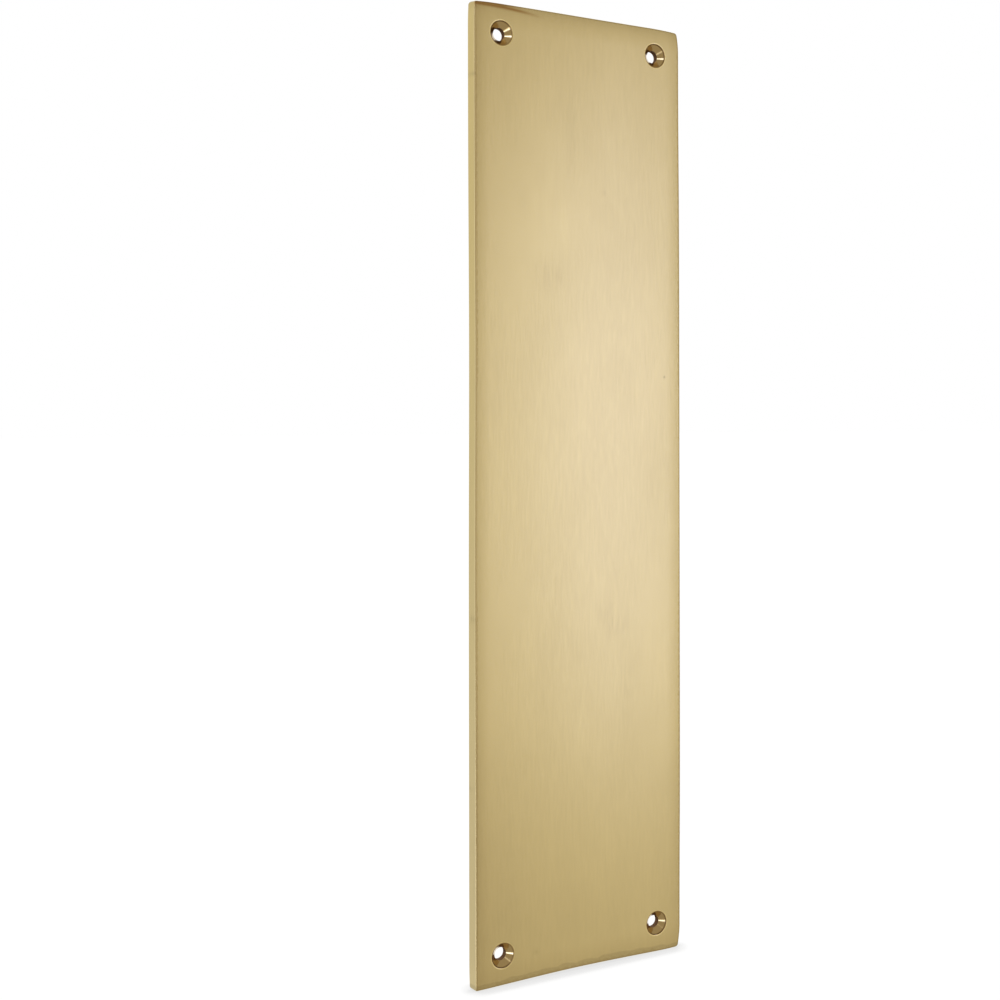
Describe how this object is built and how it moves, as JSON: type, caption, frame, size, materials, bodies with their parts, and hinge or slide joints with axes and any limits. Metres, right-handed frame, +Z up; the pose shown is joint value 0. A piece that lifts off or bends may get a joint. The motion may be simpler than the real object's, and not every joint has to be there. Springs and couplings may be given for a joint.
{
  "type": "door finger plate",
  "caption": "Plain rectangular satin brass finger plate for a door, with leaning edges, softly eased corners and countersunk screw holes near its corners.",
  "frame": {"origin": "centre of the back face, which lies on the door", "axes": "+X across the plate, +Y into the door, +Z up along the plate's length; the face that is touched looks towards -Y"},
  "size_m": [0.0774, 0.0037, 0.3046],
  "materials": {
    "satin_brass": "satin polished with a faint lengthwise grain, lightly worn"
  },
  "bodies": {
    "root": {"finger_plate": "satin_brass"}
  },
  "joints": []
}
